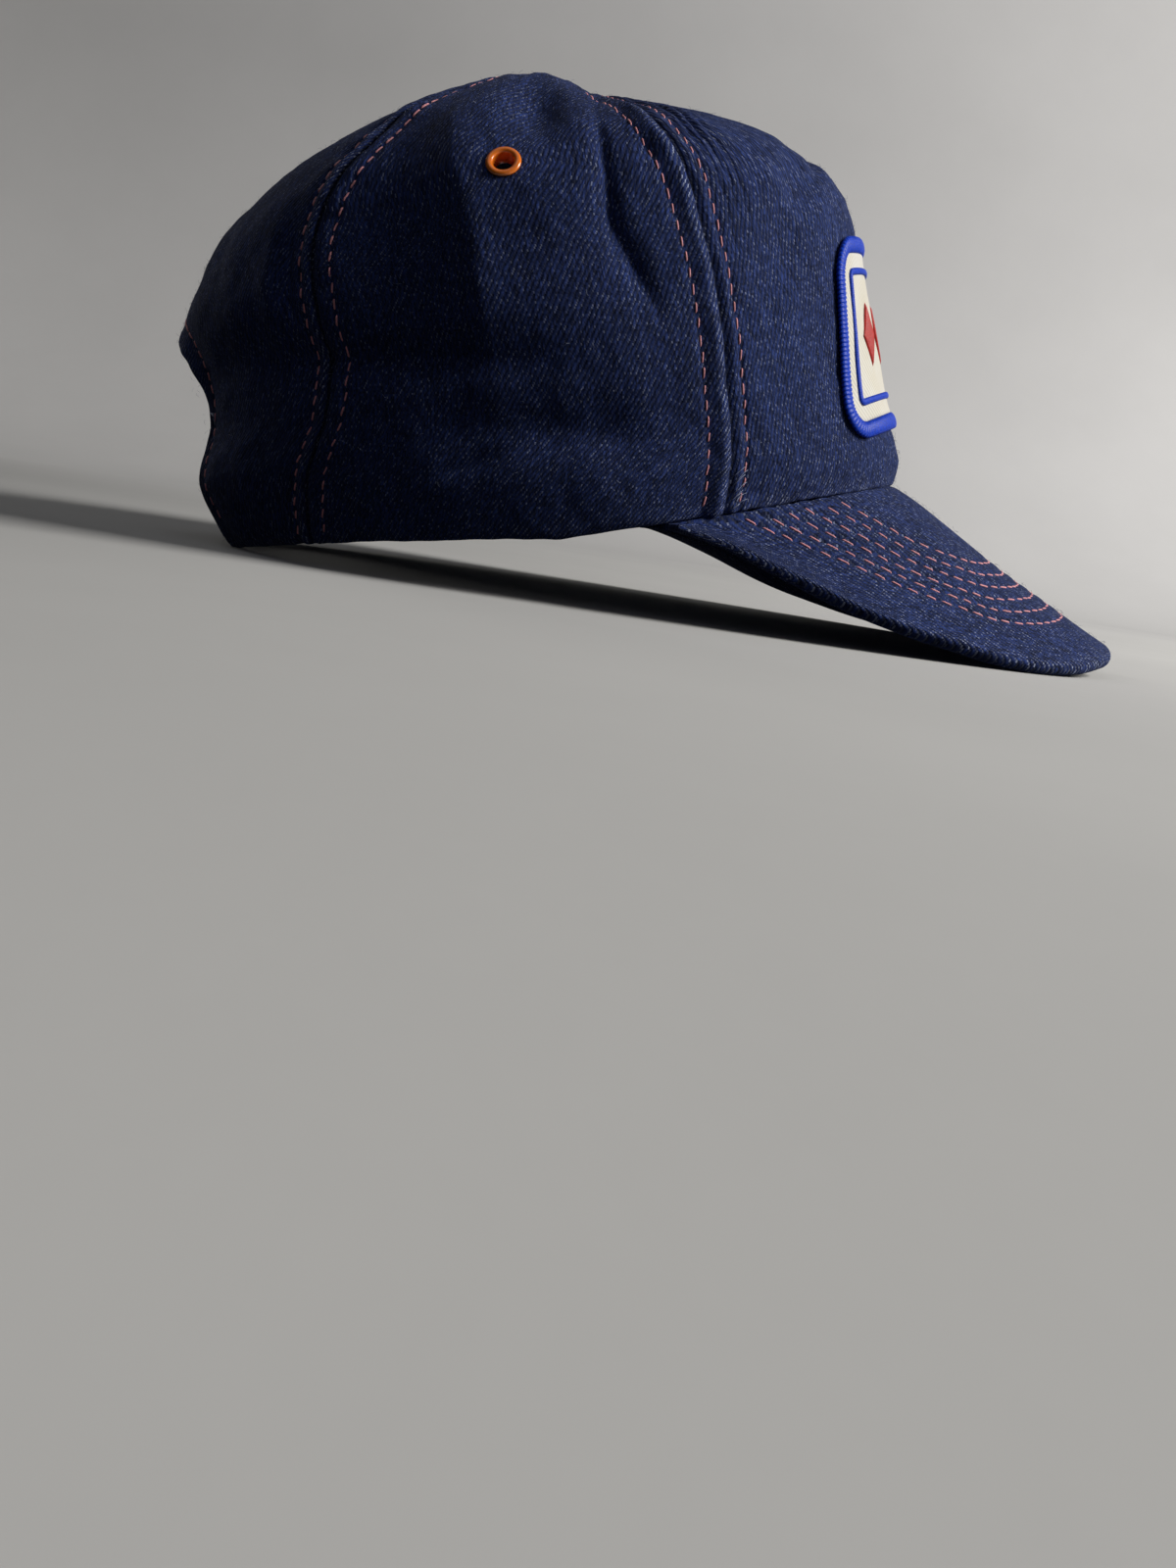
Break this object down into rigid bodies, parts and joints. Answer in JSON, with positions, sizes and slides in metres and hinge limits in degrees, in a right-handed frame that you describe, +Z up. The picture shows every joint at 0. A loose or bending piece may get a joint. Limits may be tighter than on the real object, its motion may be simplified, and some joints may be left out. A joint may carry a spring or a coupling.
{
  "type": "trucker cap",
  "caption": "Denim trucker cap with a sewn panel crown, a bent visor, a bare front patch with a bound edge, eyelets and a snap strap across a half-moon back opening.",
  "frame": {"origin": "on the table under the middle of the cap's box", "axes": "+X forward along the visor, +Y to the wearer's left, +Z up from the table that the cap rests on"},
  "size_m": [0.2688, 0.1728, 0.1324],
  "materials": {
    "denim": "dark indigo twill with pale flecks",
    "patch_twill": "white cotton twill",
    "border_thread": "royal blue overlock thread",
    "eyelet_enamel": "glossy orange enamel",
    "strap_plastic": "moulded satin"
  },
  "bodies": {
    "root": {"front_panel": "denim", "side_panel_right": "denim", "side_panel_left": "denim", "back_panel_right": "denim", "back_panel_left": "denim", "visor": "denim", "top_button": "denim", "patch_field": "patch_twill", "patch_border": "border_thread", "eyelet_right": "eyelet_enamel", "eyelet_left": "eyelet_enamel", "snap_strap": "strap_plastic"}
  },
  "joints": []
}
